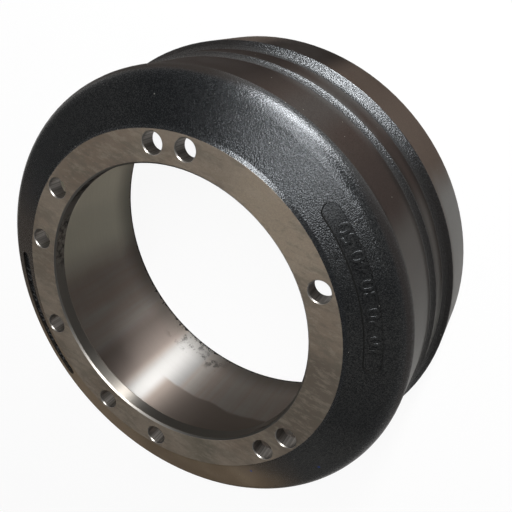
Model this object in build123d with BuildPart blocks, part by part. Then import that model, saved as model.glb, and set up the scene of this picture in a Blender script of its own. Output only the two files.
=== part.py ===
from build123d import *
import os

# Brake drum of a heavy truck or bus axle, one grey iron casting.
# It stands on its open end: Z = 0 is the open end and the mounting face is on top.
# The Z axis is the axle, and +X runs through the hole that both hole patterns share.
# All lengths are in millimetres and all angles in degrees.

# Fit on the hub: the pilot bore, and two patterns of stud holes on one circle outside it.
# The land between bore and holes puts the stud circle at 330.2, which is 13 inches.
pilot_diameter = 292.1
stud_hole_diameter = 20.6
stud_land = 8.75
first_pattern_count = 5
second_pattern_count = 6

# Brake surface of a 16.5 by 7 inch brake, its length taken from the open end to the inner corner
brake_diameter = 419.1
brake_length = 177.8

# Web: its thickness, and how far its underside rises from the inner corner to the hub seat
web_thickness = 15.5
inner_rise = 15.1

# Mounting face and hub seat: land outside the holes, and how much wider the seat is than the face
face_land = 2.6
hub_seat_extra = 2.0

# Wall round the brake surface, which thickens in two steps towards the open end
shoulder_wall = 20.6
middle_step = 4.1
rim_step = 8.6
rim_band_height = 65.5
middle_band_height = 40.2
rim_step_rise = 7.6
middle_step_rise = 6.2

# Turned bevel round the mounting face, and the sloping cast shoulder outside it
bevel_width = 3.0
bevel_drop = 3.6
shoulder_drop = 19.0

# Rounded corners of the casting
rim_foot_radius = 12.0
middle_foot_radius = 15.0
shoulder_radius = 20.0

# Edges broken by turning and drilling
pilot_chamfer = 1.8
pilot_back_chamfer = 2.0
open_end_chamfer = 2.5
rim_edge_chamfer = 2.2
inner_corner_chamfer = 5.0
hole_chamfer = 1.0
hole_back_chamfer = 0.5

# Sunken marking panels in the shoulder, with their depth taken along the axis
panel_count = 2
panel_angle = -2.2
panel_span = 45.0
panel_width = 15.3
panel_inset = 12.4
panel_depth = 2.2

# Radii that follow from the sizes above
pilot_radius = pilot_diameter / 2
hole_radius = stud_hole_diameter / 2
stud_radius = pilot_radius + stud_land + hole_radius
face_radius = stud_radius + hole_radius + face_land
hub_seat_edge = face_radius + hub_seat_extra
bevel_radius = face_radius + bevel_width
brake_radius = brake_diameter / 2
shoulder_outside = brake_radius + shoulder_wall
middle_outside = shoulder_outside + middle_step
rim_outside = middle_outside + rim_step
panel_radius = bevel_radius + panel_inset + panel_width / 2

# Heights that follow from the sizes above
web_back = brake_length + inner_rise
drum_depth = web_back + web_thickness
bevel_height = drum_depth - bevel_drop
shoulder_height = bevel_height - shoulder_drop
middle_top = rim_band_height + middle_band_height
panel_bottom = shoulder_height - panel_depth

# Corners of the section, as radius and height
open_end_inside = (brake_radius, 0)
open_end_outside = (rim_outside, 0)
rim_band_edge = (rim_outside, rim_band_height)
rim_step_foot = (middle_outside, rim_band_height + rim_step_rise)
middle_band_edge = (middle_outside, middle_top)
middle_step_foot = (shoulder_outside, middle_top + middle_step_rise)
shoulder_corner = (shoulder_outside, shoulder_height)
bevel_corner = (bevel_radius, bevel_height)
face_corner = (face_radius, drum_depth)
pilot_front = (pilot_radius, drum_depth)
pilot_back = (pilot_radius, web_back)
hub_seat_corner = (hub_seat_edge, web_back)
inner_corner = (brake_radius, brake_length)

# The steps keep their crisp upper edges, and only their feet are rounded
rounded_corners = {
    rim_step_foot: rim_foot_radius,
    middle_step_foot: middle_foot_radius,
    shoulder_corner: shoulder_radius,
}
turned_corners = {
    open_end_inside: open_end_chamfer,
    open_end_outside: rim_edge_chamfer,
    pilot_front: pilot_chamfer,
    pilot_back: pilot_back_chamfer,
    inner_corner: inner_corner_chamfer,
}

# Marking panel: a curved slot cut straight down, with a floor that follows the shoulder.
# The slot's round ends reach half its width past the ends of its centre line.
panel_end_angle = Vector(panel_radius, panel_width / 2).get_angle(Vector(1, 0))
panel_arc = panel_span - 2 * panel_end_angle

with BuildPart() as marking_panel:
    with BuildSketch(Plane.XY.offset(panel_bottom)):
        with BuildLine(mode=Mode.PRIVATE) as panel_centre:
            CenterArc((0, 0), panel_radius, panel_angle - panel_arc / 2, panel_arc)
        SlotArc(panel_centre.edge(), panel_width)
    extrude(amount=drum_depth - panel_bottom)
    with BuildSketch(Plane.XZ):
        with BuildLine():
            Polyline(
                (bevel_radius, panel_bottom),
                (shoulder_outside, panel_bottom),
                (bevel_radius, bevel_height - panel_depth),
                close=True,
            )
        make_face()
    revolve(axis=Axis.Z, mode=Mode.SUBTRACT)

# Brake drum: one section turned round the axle, then drilled, with the panels sunk in its shoulder
with BuildPart() as brake_drum:
    with BuildSketch(Plane.XZ) as section:
        with BuildLine():
            Polyline(
                open_end_inside,
                open_end_outside,
                rim_band_edge,
                rim_step_foot,
                middle_band_edge,
                middle_step_foot,
                shoulder_corner,
                bevel_corner,
                face_corner,
                pilot_front,
                pilot_back,
                hub_seat_corner,
                inner_corner,
                close=True,
            )
        make_face()
        for corner, radius in rounded_corners.items():
            fillet(section.vertices().sort_by_distance(corner)[0], radius)
        for corner, size in turned_corners.items():
            chamfer(section.vertices().sort_by_distance(corner)[0], size)
    revolve(axis=Axis.Z)

    # Both patterns start at the shared hole on +X, so the second leaves that one out
    second_step = 360 / second_pattern_count
    with Locations(Plane.XY.offset(drum_depth)):
        with PolarLocations(stud_radius, first_pattern_count):
            CounterSinkHole(hole_radius, hole_radius + hole_chamfer, counter_sink_angle=90)
        with PolarLocations(
            stud_radius,
            second_pattern_count - 1,
            start_angle=second_step,
            angular_range=360 - 2 * second_step,
            endpoint=True,
        ):
            CounterSinkHole(hole_radius, hole_radius + hole_chamfer, counter_sink_angle=90)

    # Light chamfer on the holes where they come out at the hub seat
    hub_seat = brake_drum.faces().filter_by(Axis.Z).sort_by(Axis.Z)[1]
    chamfer(hub_seat.edges().group_by(SortBy.RADIUS)[0], hole_back_chamfer)

    with PolarLocations(0, panel_count):
        add(marking_panel.part, mode=Mode.SUBTRACT)

os.makedirs("parts", exist_ok=True)
brake_drum.part.label = "brake_drum"
export_step(brake_drum.part, "parts/brake_drum.step")
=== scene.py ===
import math

import bpy
from mathutils import Matrix, Vector


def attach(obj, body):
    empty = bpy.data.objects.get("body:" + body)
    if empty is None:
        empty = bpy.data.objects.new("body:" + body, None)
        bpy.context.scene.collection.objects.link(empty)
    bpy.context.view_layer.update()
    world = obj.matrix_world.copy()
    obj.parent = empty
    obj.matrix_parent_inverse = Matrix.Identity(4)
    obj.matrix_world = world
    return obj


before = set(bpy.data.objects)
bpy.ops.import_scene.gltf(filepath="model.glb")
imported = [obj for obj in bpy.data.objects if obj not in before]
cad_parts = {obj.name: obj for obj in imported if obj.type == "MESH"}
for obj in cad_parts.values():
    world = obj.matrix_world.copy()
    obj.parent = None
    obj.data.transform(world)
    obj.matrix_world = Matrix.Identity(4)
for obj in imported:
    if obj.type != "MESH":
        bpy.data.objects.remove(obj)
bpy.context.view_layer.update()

scene = bpy.context.scene
scene.view_settings.view_transform = "Standard"

# Camera. It leans over the drum from the side of the shared stud hole and looks down at the
# mounting face, through the pilot bore and out past the wall. Lens and shift frame the drum.
camera_place = Vector((0.385784, 0.163327, 0.612291))
camera_right = Vector((0.84303, -0.30544, -0.44272))
camera_up = Vector((0.16745, 0.93125, -0.32362))

camera_data = bpy.data.cameras.new("camera")
camera_data.lens = 41.0534
camera_data.sensor_width = 36
camera_data.shift_x = -0.023426
camera_data.shift_y = -0.067096
camera = bpy.data.objects.new("camera", camera_data)
scene.collection.objects.link(camera)
camera_axes = Matrix((camera_right, camera_up, camera_right.cross(camera_up))).transposed()
camera.matrix_world = Matrix.Translation(camera_place) @ camera_axes.to_4x4()
scene.camera = camera


# Studio floor. A wide sheet of white card lies under the drum and takes a soft shadow from it.
# It is white to the eye, shows partly white in the iron, and is lit by the lamps for the rest.
# Round the drum the card is painted lighter, and whiter in the iron, than further out: a painted
# pool of light, seen only in the iron and in bounced light.
class Value:
    """A socket of a node tree. Sums on it add Math nodes, so a mask reads as arithmetic."""

    def __init__(self, tree, socket=None):
        self.tree = tree
        self.socket = socket

    def node(self, kind, settings=None, sockets=None, output=0):
        """Add a node: its settings first, then a number or a link for each of its sockets."""
        made = self.tree.nodes.new("ShaderNode" + kind)
        for name, setting in (settings or {}).items():
            setattr(made, name, setting)
        for name, given in (sockets or {}).items():
            if isinstance(given, Value):
                self.tree.links.new(given.socket, made.inputs[name])
            else:
                made.inputs[name].default_value = given
        if isinstance(output, tuple):
            return [Value(self.tree, made.outputs[name]) for name in output]
        return Value(self.tree, made.outputs[output] if made.outputs else None)

    def math(self, operation, *terms):
        return self.node("Math", {"operation": operation}, dict(enumerate(terms)))

    def __add__(self, other):
        return self.math("ADD", self, other)

    def __radd__(self, other):
        return self.math("ADD", other, self)

    def __sub__(self, other):
        return self.math("SUBTRACT", self, other)

    def __rsub__(self, other):
        return self.math("SUBTRACT", other, self)

    def __mul__(self, other):
        return self.math("MULTIPLY", self, other)

    def __rmul__(self, other):
        return self.math("MULTIPLY", other, self)

    def __neg__(self):
        return self.math("MULTIPLY", self, -1)

    def __truediv__(self, other):
        return self.math("DIVIDE", self, other)

    def __pow__(self, other):
        return self.math("POWER", self, other)


def empty_tree(owner):
    owner.use_nodes = True
    owner.node_tree.nodes.clear()
    return Value(owner.node_tree)


def ramp(value, low, high):
    """Rise smoothly from 0 at low to 1 at high."""
    return value.node(
        "MapRange",
        {"interpolation_type": "SMOOTHSTEP"},
        {"Value": value, "From Min": low, "From Max": high},
    )


def tint(share, first, second):
    """A colour between two colours, by share. A colour is a link or three numbers."""
    first, second = [c if isinstance(c, Value) else (*c, 1) for c in (first, second)]
    return share.node("Mix", {"data_type": "RGBA"}, {0: share, 6: first, 7: second}, output=2)


white_card = (0.9, 0.9, 0.9)
pool_card = (0.42, 0.40, 0.37)
far_card = (0.16, 0.15, 0.14)
white = (1, 1, 1, 1)
seen_white, mirrored_white, pool_mirrored_white = 0.93, 0.1, 0.22
near_edge, far_edge = 0.4, 1.1
floor_half = 6.0
floor_height = -0.0005

card = bpy.data.materials.new("white_card")
sheet = empty_tree(card)
seen, mirrored, through = sheet.node(
    "LightPath", output=("Is Camera Ray", "Is Glossy Ray", "Is Transmission Ray")
)
spot = sheet.node("TexCoord", output="Object")
from_axle = sheet.node("VectorMath", {"operation": "LENGTH"}, {"Vector": spot}, output="Value")
# Painted pool of light: lighter card and whiter shine within this reach of the axle
near = 1 - ramp(from_axle, near_edge, far_edge)
plain_white = seen * seen_white
plain_white = plain_white + (mirrored + through) * (near * pool_mirrored_white + mirrored_white)
card_colour = tint(seen, tint(near, far_card, pool_card), white_card)
lit_card = sheet.node("BsdfPrincipled", sockets={"Base Color": card_colour, "Roughness": 0.9})
white_light = sheet.node("Emission", sockets={"Color": white, "Strength": 1.0})
card_mix = sheet.node("MixShader", sockets={0: plain_white, 1: lit_card, 2: white_light})
sheet.node("OutputMaterial", sockets={"Surface": card_mix})

floor_mesh = bpy.data.meshes.new("floor")
floor_corners = [
    (-floor_half, -floor_half, floor_height),
    (floor_half, -floor_half, floor_height),
    (floor_half, floor_half, floor_height),
    (-floor_half, floor_half, floor_height),
]
floor_mesh.from_pydata(floor_corners, [], [(0, 1, 2, 3)])
floor_mesh.materials.append(card)
floor = bpy.data.objects.new("floor", floor_mesh)
scene.collection.objects.link(floor)


# Studio light. Walls stand round the room under a dark ceiling, white to the eye and grey as light.
# A tall narrow soft box stands beyond the drum and another hangs high over it. A low wide one is
# seen only as a shine on the paint.
bright_east, bright_north = 0.87, -0.5
bright_walls, dark_walls = 0.7, 0.3
wall_glow, ceiling_glow = 0.2, 0.07
wall_foot, wall_top = 0.02, 0.5
lamp_target = Vector((0, 0, 0.12))

room = bpy.data.worlds.new("room")
scene.world = room
air = empty_tree(room)
outlook = air.node("TexCoord", output="Generated")
east, north, height = air.node(
    "SeparateXYZ", sockets={"Vector": outlook}, output=("X", "Y", "Z")
)
near_side = ramp(east * bright_east + north * bright_north, -0.6, 0.6)
wall = 1 - ramp(height, wall_foot, wall_top)
room_light = (near_side * bright_walls + dark_walls) * (wall * wall_glow + ceiling_glow)
looked_at = air.node("LightPath", output="Is Camera Ray")
backdrop = room_light * (1 - looked_at) + looked_at
wall_light = air.node("Background", sockets={"Color": white, "Strength": backdrop})
air.node("OutputWorld", sockets={"Surface": wall_light})


def soft_box(name, bearing, rise, distance, width, tall, power):
    """A lamp that faces the drum from a bearing and a rise, both in degrees."""
    data = bpy.data.lights.new(name, "AREA")
    data.shape = "RECTANGLE"
    data.size = width
    data.size_y = tall
    data.energy = power
    lamp = bpy.data.objects.new(name, data)
    turn, tilt = math.radians(bearing), math.radians(rise)
    level = math.cos(tilt)
    towards = Vector((math.cos(turn) * level, math.sin(turn) * level, math.sin(tilt)))
    lamp.location = lamp_target + towards * distance
    lamp.rotation_euler = towards.to_track_quat("Z", "Y").to_euler()
    lamp.visible_camera = False
    scene.collection.objects.link(lamp)
    return lamp


soft_box("tall_soft_box", 51.0, 27.0, 2.0, 0.16, 2.1, 61.0)
low_box = soft_box("low_soft_box", 48.0, 0.0, 1.05, 0.48, 0.24, 13.5)
low_box.visible_diffuse = False
soft_box("high_soft_box", 42.0, 62.0, 2.0, 0.6, 0.5, 16.0)


# Drum. One iron casting: sand-cast outside and painted black, then turned on the face, the bands,
# the bore and the brake surface, and drilled. One finish covers it, set out by radius and height.
millimetre = 0.001
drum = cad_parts["brake_drum"]
iron_finish = bpy.data.materials.new("painted_and_turned_iron")
surface = empty_tree(iron_finish)

# Radii and heights of the casting's edges, in millimetres
pilot_radius = 146.05
pilot_chamfer_radius = 147.85
face_radius = 178.0
bevel_radius = 181.0
brake_radius = 209.55
shoulder_outside = 230.15
middle_outside = 234.25
rim_outside = 242.85
rim_band_height = 65.5
bevel_height = 204.8
drum_depth = 208.4
shoulder_slope = 19.0 / 49.15

# The two patterns of stud holes share one circle. The two marking panels are sunk in the shoulder.
stud_radius = 165.1
stud_counts = (5, 6)
countersink_radius = 11.3
panel_count = 2
panel_radius = 201.05
panel_half_width = 7.65
panel_half_length = 71.3
panel_depth = 2.2
panel_bearing = -2.2
panel_level = bevel_height - panel_depth


def past(value, edge, soft):
    """1 past an edge, fading over this much on either side of it."""
    return ramp(value, edge - soft, edge + soft)


def between(value, low, high, soft):
    return past(value, low, soft) * (1 - past(value, high, soft))


def larger(*masks):
    largest = masks[0]
    for mask in masks[1:]:
        largest = largest.math("MAXIMUM", largest, mask)
    return largest


def patched(colour, *patches):
    """Lay patches over a colour, in order. Each is a mask and the colour under it."""
    for mask, patch in patches:
        colour = tint(mask, colour, patch)
    return colour


def reach(across, along):
    return (across * across + along * along) ** 0.5


def vector(x_part, y_part, z_part):
    return surface.node("CombineXYZ", sockets={"X": x_part, "Y": y_part, "Z": z_part})


def round_axle(sideways, forward):
    """The angle round the axle from straight forward, from -180 to 180 degrees."""
    return surface.math("ARCTAN2", sideways, forward) * math.degrees(1)


def off_nearest(angle, count):
    """How far an angle is from the nearest of this many places, evenly set from 0 degrees."""
    half_step = 180 / count
    return surface.math("ABSOLUTE", surface.math("WRAP", angle, half_step, -half_step))


def grain(point, size, seed, detail=2.0, rough=0.5):
    """Noise from 0 to 1 with features about this many millimetres across."""
    sockets = {"Vector": point, "W": seed, "Scale": 1 / size}
    sockets |= {"Detail": detail, "Roughness": rough}
    return point.node("TexNoise", {"noise_dimensions": "4D"}, sockets)


def cells(point, scale, detail=0.0):
    """Distance from the middle of the nearest of many small cells."""
    sockets = {"Vector": point, "Scale": scale, "Detail": detail}
    return point.node("TexVoronoi", {"feature": "F1"}, sockets, output="Distance")


metres, facing = surface.node("TexCoord", output=("Object", "Normal"))
to_millimetres = {"Vector": metres, "Scale": 1 / millimetre}
place = surface.node("VectorMath", {"operation": "SCALE"}, to_millimetres)
x, y, z = surface.node("SeparateXYZ", sockets={"Vector": place}, output=("X", "Y", "Z"))
radius = reach(x, y)
ahead = x / radius
aside = y / radius

# Bearings run from +X and far bearings from -X, in degrees. The ragged ones wander, so that a
# mask made from them has an uneven edge.
bearing = round_axle(y, x)
far_bearing = round_axle(-y, -x)
wander = (grain(place, 50.0, seed=8.0) - 0.5) * 16
ragged = bearing + wander
far_ragged = far_bearing + wander

# Where each finish lies. The shoulder line is a point's height, moved up the slope to the bevel,
# so it is the same all over the shoulder.
shoulder_line = z + shoulder_slope * (radius - bevel_radius)
outer_wall = past(radius, 220.0, 1.0)
shoulder = past(shoulder_line, 198.0, 1.0) * ramp(radius, face_radius - 0.05, face_radius + 0.1)
web_slope = between(radius, 180.6, 203.6, 0.4) * between(z, 170.0, 192.6, 0.2)
painted = larger(outer_wall, shoulder, web_slope)
bevel = (1 - past(radius, bevel_radius, 0.3)) * shoulder

upper_band = past(radius, shoulder_outside - 0.3, 0.15) * between(z, 113.5, 174.0, 1.5)
middle_band = between(radius, middle_outside - 0.35, middle_outside + 1.25, 0.2)
middle_band = middle_band * between(z, 76.5, 105.0, 1.2)
rim_band = past(radius, rim_outside - 3.85, 0.5) * (1 - past(z, rim_band_height, 0.3))
bands = larger(upper_band, middle_band, rim_band)
steps = outer_wall * (between(z, 66.0, 76.0, 0.4) + between(z, 105.6, 113.0, 0.4))
step_feet = outer_wall * larger(between(z, 100.0, 121.0, 7.0), between(z, 62.0, 84.0, 8.0))
low_fillet = ramp(radius, 224.5, 228.5) * between(z, 171.0, 187.0, 2.0)
cast_skin = painted * (1 - larger(bands, bevel))

flat_face = ramp(z, drum_depth - 0.2, drum_depth - 0.05)
brake_surface = between(radius, brake_radius - 0.35, brake_radius + 0.65, 0.2)
brake_surface = brake_surface * between(z, 2.6, 173.0, 0.2)
pilot_land = (1 - past(radius, pilot_radius + 0.4, 0.15)) * between(z, 195.0, 206.5, 0.1)
pilot_edge = 1 - ramp(radius, pilot_chamfer_radius - 0.15, pilot_chamfer_radius)
pilot_edge = pilot_edge * between(z, 206.7, 208.3, 0.1)

# The marking panels: how far a point lies from the middle line of the nearer one
panel_turn = off_nearest(bearing - panel_bearing, panel_count)
past_end = larger(panel_turn * (panel_radius / math.degrees(1)) - panel_half_length, 0.0)
panel_distance = reach(past_end, radius - panel_radius)
panel_floor = 1 - ramp(panel_distance, panel_half_width - 0.45, panel_half_width - 0.15)
panel_floor = panel_floor * shoulder
panel_wall = between(panel_distance, panel_half_width - 0.25, panel_half_width + 0.25, 0.12)
panel_wall = panel_wall * shoulder
number_wall = between(shoulder_line, panel_level + 0.15, panel_level + 1.3, 0.06) * panel_floor

# The stud holes: how far a point lies from the middle of the nearest of the ten
hole_turn = surface.math("MINIMUM", *[off_nearest(bearing, count) for count in stud_counts])
hole_cosine = surface.math("COSINE", hole_turn / math.degrees(1))
hole_distance = radius * radius + stud_radius**2 - radius * (2 * stud_radius) * hole_cosine
hole_distance = hole_distance**0.5
in_hole = 1 - ramp(hole_distance, countersink_radius - 0.15, countersink_radius)
hole_edge = in_hole * past(z, drum_depth - 1.0, 0.1)
hole_wall = in_hole * (1 - hole_edge)

# Sand grain of the cast skin, and the fine speckle that the paint keeps on the turned bands.
# Turning marks run round the axle on the turned surfaces. Heights are in millimetres.
sand_height = 0.19
lump_height = 0.06
bevel_sand_height = 0.15
speckle_height = 0.02
mark_height = 0.006

sand = 1 - cells(place, 0.70, detail=1.0)
lumps = grain(place, 3.2, seed=3.0)
speckle = ramp(grain(place, 0.9, seed=5.0, rough=0.6), 0.32, 0.68)
axle_lines = vector(ahead * 3.0, aside * 3.0, z - radius)
marks = grain(axle_lines, 0.55, seed=1.0, detail=3.0, rough=0.7)
wide_marks = grain(axle_lines, 6.0, seed=2.0)

rough_skin = sand * sand_height + lumps * lump_height
relief = cast_skin * rough_skin * (1 + steps * 0.5 - panel_floor * 0.8)
relief = relief + bands * speckle * speckle_height + bevel * sand * bevel_sand_height
relief = relief + (1 - painted) * marks * mark_height

# Black paint on the cast skin. Dust lies in its grain at the sides, and there the grain is also
# painted lighter as a sheen of the room at the grazing edges: painted reflection. Pale specks lie
# all over, and two small blue flecks low on the shoulder.
deep_black, worn_black = (0.003, 0.0034, 0.004), (0.012, 0.0125, 0.0128)
grain_dust_and_sheen = (0.045, 0.044, 0.041)
pale_dust = (0.35, 0.34, 0.31)
fleck_blue, rubbed_fleck_blue = (0.025, 0.045, 0.16), (0.04, 0.07, 0.25)
fleck_places = ((21.6, -189.2), (97.8, -186.3))

speck_size = grain(place, 16.0, seed=9.0, detail=1.0) + 0.02
specks = 1 - ramp(cells(place, 0.085) / speck_size, 0.04, 0.07)
first_fleck, second_fleck = [reach(x - fleck_x, y - fleck_y) for fleck_x, fleck_y in fleck_places]
blue_flecks = shoulder * (1 - ramp(surface.math("MINIMUM", first_fleck, second_fleck), 0.9, 1.6))
# Sectors of the sides where the grain is lighter: dust, and painted reflection of the room
side_dust_and_sheen = larger(
    between(ragged, -90.0, -45.0, 14.0) * 0.9,
    between(ragged, -45.0, -5.0, 14.0) * 0.4,
    between(ragged, 80.0, 150.0, 10.0) * 0.2,
    between(ragged, -2.0, 22.0, 8.0) * 0.2,
)
dust_and_sheen_grain = (speckle * 0.8 + 0.1) * side_dust_and_sheen
dust_and_sheen_grain = dust_and_sheen_grain * cast_skin * (1 - larger(steps, low_fillet))
paint_colour = patched(
    tint(speckle, deep_black, worn_black),
    (dust_and_sheen_grain, grain_dust_and_sheen),
    (specks, pale_dust),
    (blue_flecks, fleck_blue),
)
paint_rough = 0.20 + speckle * 0.10

# A dull film over the paint. On the low corner and at the steps, in sectors, it is dark brown and
# grey and takes the shine off. On the far shoulder and the low corner there, its light brown is
# painted reflection of the room at the grazing edge.
dull_corner = low_fillet * between(bearing, 54.0, 130.0, 9.0) * 0.92
dull_foot = larger(
    larger(low_fillet, steps) * between(bearing, -40.0, 17.0, 10.0) * 0.6,
    steps * between(bearing, 66.0, 130.0, 10.0) * 0.6,
)
# Painted reflection of the room on the far shoulder and low corner, at the grazing edge
grazing_reflection = between(far_ragged, -45.0, 104.0, 16.0)
grazing_reflection = grazing_reflection * (ramp(far_ragged, -30.0, 18.0) * 0.6 + 0.3)
grazing_reflection = larger(shoulder, low_fillet) * grazing_reflection * (1 - panel_floor)
dull_film_and_reflection = larger(dull_corner, dull_foot, grazing_reflection)

# Thin films on the turned bands: brown, grey-green on the near side. Beyond they are painted dark
# brown, and in other sectors lighter, darker or greyer, with lighter and darker feet under the
# steps: painted reflection of the room in the bands, and painted shade at the feet on the near
# side.
# The near side has a thin coat of oil, which thins out towards the steps.
band_brown, pale_band_brown = (0.042, 0.0315, 0.0275), (0.0455, 0.036, 0.0315)
far_band_reflection = (0.017, 0.0133, 0.0118)
near_band_reflection = (0.030, 0.023, 0.021)
band_highlight_grey = (0.057, 0.054, 0.051)
foot_reflection_grey = (0.085, 0.085, 0.083)
foot_shade_grey = (0.013, 0.0127, 0.0122)
middle_reflection_grey = (0.17, 0.168, 0.16)
dull_corner_brown = (0.019, 0.016, 0.0142)
dull_foot_grey = (0.010, 0.010, 0.0097)
band_speckle_brown = (0.0133, 0.0106, 0.0095)
rim_brown, pale_rim_brown = (0.044, 0.0327, 0.0266), (0.051, 0.039, 0.032)
near_rim_reflection = (0.076, 0.059, 0.049)
far_rim_reflection = (0.0105, 0.0085, 0.0076)
rim_speckle_brown = (0.023, 0.017, 0.014)
reflected_brown, pale_reflected_brown = (0.235, 0.175, 0.115), (0.30, 0.23, 0.16)
bright_reflected_brown = (0.38, 0.29, 0.20)
reflected_speckle_brown = (0.12, 0.09, 0.065)
oil_colour = (0.030, 0.029, 0.026, 1)

patch = ramp(grain(place, 60.0, seed=7.0), 0.38, 0.62)
middle_reflection = middle_band * between(bearing, -60.0, -18.0, 6.0)
# Painted reflection and painted shade: the sectors below lighten and darken the bands
band_colour = patched(
    tint(patch, band_brown, pale_band_brown),
    (between(bearing, 49.0, 90.0, 8.0), far_band_reflection),
    (between(bearing, 3.0, 25.0, 8.0) * 0.7, near_band_reflection),
    (between(bearing, 33.0, 43.0, 4.0) * 0.6, band_highlight_grey),
    (step_feet * between(bearing, 26.0, 48.0, 6.0) * 0.6, foot_reflection_grey),
    (step_feet * (1 - ramp(bearing, 14.0, 28.0)) * 0.75, foot_shade_grey),
    (middle_reflection, middle_reflection_grey),
    (dull_corner, dull_corner_brown),
    (dull_foot, dull_foot_grey),
    (speckle * 0.5, band_speckle_brown),
)
# The rim band is painted lighter on the near side and dark beyond: painted reflection of the room
rim_colour = patched(
    tint(patch, rim_brown, pale_rim_brown),
    (between(bearing, 2.0, 30.0, 8.0) * 0.7, near_rim_reflection),
    (between(bearing, 45.0, 64.0, 4.0), far_rim_reflection),
    (speckle * 0.3, rim_speckle_brown),
)
# Colours of the painted reflection on the far shoulder
grazing_reflection_colour = patched(
    tint(patch, reflected_brown, pale_reflected_brown),
    (between(far_ragged, 20.0, 52.0, 8.0) * 0.7, bright_reflected_brown),
    (speckle * 0.4, reflected_speckle_brown),
)
film_colour = patched(
    band_colour,
    (rim_band, rim_colour),
    (grazing_reflection, grazing_reflection_colour),
    (specks, pale_dust),
    (blue_flecks, rubbed_fleck_blue),
)
film_rough = 0.45 + patch * 0.10
film = larger(bands, dull_film_and_reflection)

oil_bearing = bearing + wander * 0.3
oil_fade = 1 - ramp(oil_bearing, -32.0, 16.0) * (1 - rim_band) * 0.55
oiled = bands * between(oil_bearing, -75.0, 8.0, 5.0) * oil_fade
oiled = oiled * (1 - larger(step_feet * 0.6, middle_reflection * 0.7))

# Iron of the face: satin grey-brown with light rust, and dark where grease has smeared it
face_iron, face_rust = (0.215, 0.180, 0.142), (0.190, 0.150, 0.115)
bright_face = (0.275, 0.225, 0.170)
dark_face = (0.085, 0.070, 0.056)
top_face = (0.120, 0.090, 0.068)
low_face = (0.115, 0.103, 0.077)
smear_dark, scuff_bright = (0.095, 0.088, 0.070), (0.30, 0.26, 0.21)
face_speckle = (0.10, 0.085, 0.068)

rust_patch = ramp(grain(place, 45.0, seed=11.0, detail=3.0, rough=0.55), 0.35, 0.68)
strokes = vector((x * 0.8 - y * 0.6) * 0.35, x * 0.6 + y * 0.8, 0.0)
smear = grain(strokes, 9.0, seed=13.0, detail=6.0, rough=0.74)
smear = smear + (grain(place, 45.0, seed=14.0) - 0.5) * 0.35
scuff = grain(strokes, 5.0, seed=23.0, detail=5.0, rough=0.75)
face_colour = patched(
    tint(rust_patch, face_iron, face_rust),
    (between(ragged, 4.0, 38.0, 8.0) * 0.8, bright_face),
    (between(ragged, -66.0, -20.0, 6.0) * 0.8, dark_face),
    (between(ragged, 80.0, 118.0, 10.0) * 0.6, top_face),
    (between(ragged, -106.0, -93.0, 4.0) * 0.7, low_face),
    (ramp(smear, 0.46, 0.58) * 0.45, smear_dark),
    (ramp(scuff, 0.48, 0.62) * 0.35, scuff_bright),
    (speckle * flat_face * 0.3, face_speckle),
)

# Iron of the brake surface: brighter, in brown and grey streaks along the axle, darker towards
# the open end. In sectors round the axle it is painted green-grey, warm brown, plain grey where
# the lamp's streak falls and darker beside it: painted reflection of the room in the turned iron.
# On one side, above a wandering line about 92 mm up, it is painted darker brown: painted shadow
# of the web.
streak_brown, streak_grey = (0.46, 0.39, 0.345), (0.48, 0.45, 0.42)
reflected_green_grey = (0.86, 0.83, 0.70)
reflected_warm_brown = (0.40, 0.31, 0.26)
streak_reflection_grey = (0.40, 0.395, 0.385)
dark_reflection_grey = (0.27, 0.225, 0.20)
web_shadow_brown = (0.28, 0.235, 0.205)
mark_brown = (0.25, 0.22, 0.20)
open_end_dark = (0.13, 0.12, 0.105)

axle_streaks = vector(ahead * 20, aside * 20, z * 0.006)
streaks = ramp(grain(axle_streaks, 1.0, seed=15.0, detail=3.0, rough=0.6), 0.3, 0.7)
# Painted shadow of the web: darker above a wandering line about 92 mm up
web_shadow_line = ramp(z + wander * 1.4, 90.0, 94.0)
# Painted reflection in sectors round the axle, and painted shadow of the web
brake_colour = patched(
    tint(streaks, streak_brown, streak_grey),
    (between(bearing, 110.0, 170.0, 8.0), reflected_green_grey),
    (between(far_ragged, -6.0, 8.0, 3.0) * 0.4, reflected_warm_brown),
    (between(far_bearing, 34.5, 48.0, 1.5), streak_reflection_grey),
    (between(far_bearing, 20.0, 34.5, 3.0), dark_reflection_grey),
    (between(far_bearing, 42.0, 84.0, 2.0) * web_shadow_line, web_shadow_brown),
    (marks * 0.25, mark_brown),
    ((1 - ramp(z, 4.0, 42.0)) * 0.6, open_end_dark),
)

# Iron of the bore and holes: dark and dull on the bore, fine marks down the drilled walls, and
# bright on the chamfers
bore_iron = (0.215, 0.20, 0.18)
drilled_dark, drilled_bright = (0.22, 0.205, 0.19), (0.42, 0.39, 0.36)
chamfer_bright, chamfer_dark = (0.38, 0.365, 0.34), (0.18, 0.17, 0.16)

drill_marks = ramp(grain(facing, 0.16, seed=17.0, detail=3.0, rough=0.6), 0.35, 0.68)
chamfers = larger(pilot_edge, hole_edge)
iron_colour = patched(
    face_colour,
    (brake_surface, brake_colour),
    (pilot_land, bore_iron),
    (hole_wall, tint(drill_marks, drilled_dark, drilled_bright)),
    (chamfers, chamfer_bright),
    (chamfers * between(far_bearing, -10.0, 60.0, 10.0) * 0.5, chamfer_dark),
)
iron_rough = 0.40 + wide_marks * 0.06 + brake_surface * 0.12 - chamfers * 0.10
iron_metal = 1 - flat_face * 0.7

# Black grease and dirt: the toothed line at the open end and smears on the bore. The panel walls
# and the sides of the numbers are painted black: painted shade.
grime_and_shade_black = (0.008, 0.008, 0.0075, 1)
tooth_foot = 3.2

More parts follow.
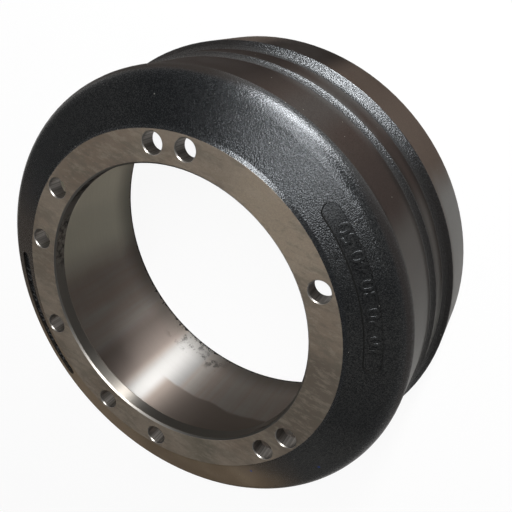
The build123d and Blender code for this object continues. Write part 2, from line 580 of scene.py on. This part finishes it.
tooth_lines = vector(ahead * 46, aside * 46, z * 0.2)
tooth = ramp(grain(tooth_lines, 1.0, seed=19.0, detail=4.0, rough=0.7), 0.45, 0.8)
dirty_end = between(far_bearing, 10.0, 56.0, 6.0)
teeth = 1 - ramp(z - tooth_foot - tooth * (dirty_end * 9 + 3), 0.0, 2.0)
dirt = ramp(grain(place, 12.0, seed=27.0, detail=5.0, rough=0.72), 0.50, 0.60)
dirt = dirt * between(far_bearing, 30.0, 54.0, 3.0) * between(z, 3.0, 36.0, 7.0)
bore_smears = ramp(grain(place, 7.0, seed=21.0, detail=4.0, rough=0.65), 0.42, 0.6)
bore_smears = bore_smears * pilot_land
bore_smears = bore_smears * larger(
    between(ragged, 98.0, 118.0, 4.0), between(ragged, 130.0, 154.0, 4.0)
)
# Painted shade on the panel walls and number sides, with grease and dirt on the bore and open end
grime_and_painted_shade = larger(
    larger(panel_wall, number_wall) * 0.9,
    brake_surface * larger(teeth, dirt * 0.6),
    bore_smears * 0.85,
)

# The six finishes, and how they lie over one another
relief_normal = surface.node(
    "Bump", sockets={"Height": relief, "Distance": millimetre, "Strength": 1.0}, output="Normal"
)
paint_shader = surface.node(
    "BsdfPrincipled",
    sockets={
        "Base Color": paint_colour,
        "Roughness": paint_rough,
        "Specular IOR Level": 0.5,
        "Specular Tint": (0.90, 0.95, 1.0, 1),
        "Normal": relief_normal,
    },
)
film_shader = surface.node(
    "BsdfPrincipled",
    sockets={
        "Base Color": film_colour,
        "Roughness": film_rough,
        "IOR": 1.04,
        "Normal": relief_normal,
    },
)
oiled_shader = surface.node(
    "BsdfPrincipled",
    sockets={
        "Base Color": oil_colour,
        "Roughness": 0.34,
        "Specular IOR Level": 0.3,
        "Normal": relief_normal,
    },
)
face_shader = surface.node(
    "BsdfPrincipled",
    sockets={
        "Base Color": iron_colour,
        "Metallic": iron_metal,
        "Roughness": iron_rough,
        "Normal": relief_normal,
    },
)
brake_shader = surface.node(
    "BsdfPrincipled",
    sockets={
        "Base Color": iron_colour,
        "Metallic": 1.0,
        "Roughness": iron_rough,
        "Anisotropic": 1.0,
        "Anisotropic Rotation": 0.25,
        "Normal": relief_normal,
    },
)
grime_and_shade_shader = surface.node(
    "BsdfPrincipled",
    sockets={
        "Base Color": grime_and_shade_black,
        "Roughness": 0.6,
        "Specular IOR Level": 0.1,
        "Normal": relief_normal,
    },
)


def laid_over(under, mask, over):
    return under.node("MixShader", sockets={0: mask, 1: under, 2: over})


skin_shader = laid_over(paint_shader, film, laid_over(film_shader, oiled, oiled_shader))
iron_shader = laid_over(face_shader, larger(brake_surface, pilot_land), brake_shader)
drum_shader = laid_over(laid_over(iron_shader, painted, skin_shader), grime_and_painted_shade, grime_and_shade_shader)
surface.node("OutputMaterial", sockets={"Surface": drum_shader})
drum.data.materials.clear()
drum.data.materials.append(iron_finish)


# Numbers in the marking panels. They are cast with the drum, so they stand up from the floor of
# each panel with sloping sides, and carry the same sand grain and black paint.
number_radius = 202.0
number_height = 13.4
number_span = 119.0
number_rise = 1.35
number_root = 0.25
slope = math.atan(shoulder_slope)
number_level = panel_level - (number_radius - bevel_radius) * shoulder_slope

letters = bpy.data.curves.new("numbers", "FONT")
letters.body = "10 20 30 40 50"
letters.extrude = 0.05
letters.bevel_depth = 0.022
letters.bevel_resolution = 2
letters_object = bpy.data.objects.new("numbers", letters)
flat = bpy.data.meshes.new_from_object(letters_object)
bpy.data.objects.remove(letters_object)
lowest = [min(v.co[i] for v in flat.vertices) for i in range(3)]
highest = [max(v.co[i] for v in flat.vertices) for i in range(3)]

for panel in range(panel_count):
    numbers_mesh = flat.copy()
    numbers_mesh.name = f"panel_numbers_{panel + 1}"
    for v in numbers_mesh.vertices:
        across, upward, outward = [
            (v.co[i] - lowest[i]) / (highest[i] - lowest[i]) for i in range(3)
        ]
        along = (across - 0.5) * number_span
        up = (upward - 0.5) * number_height
        out = outward * (number_rise + number_root) - number_root
        r = number_radius - up * math.cos(slope) + out * math.sin(slope)
        h = number_level + up * math.sin(slope) + out * math.cos(slope)
        angle = math.radians(panel_bearing + 360 / panel_count * panel) + along / number_radius
        v.co = Vector((r * math.cos(angle), r * math.sin(angle), h)) * millimetre
    numbers_mesh.materials.clear()
    numbers_mesh.materials.append(iron_finish)
    numbers = bpy.data.objects.new(numbers_mesh.name, numbers_mesh)
    scene.collection.objects.link(numbers)
    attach(numbers, "root")
bpy.data.meshes.remove(flat)
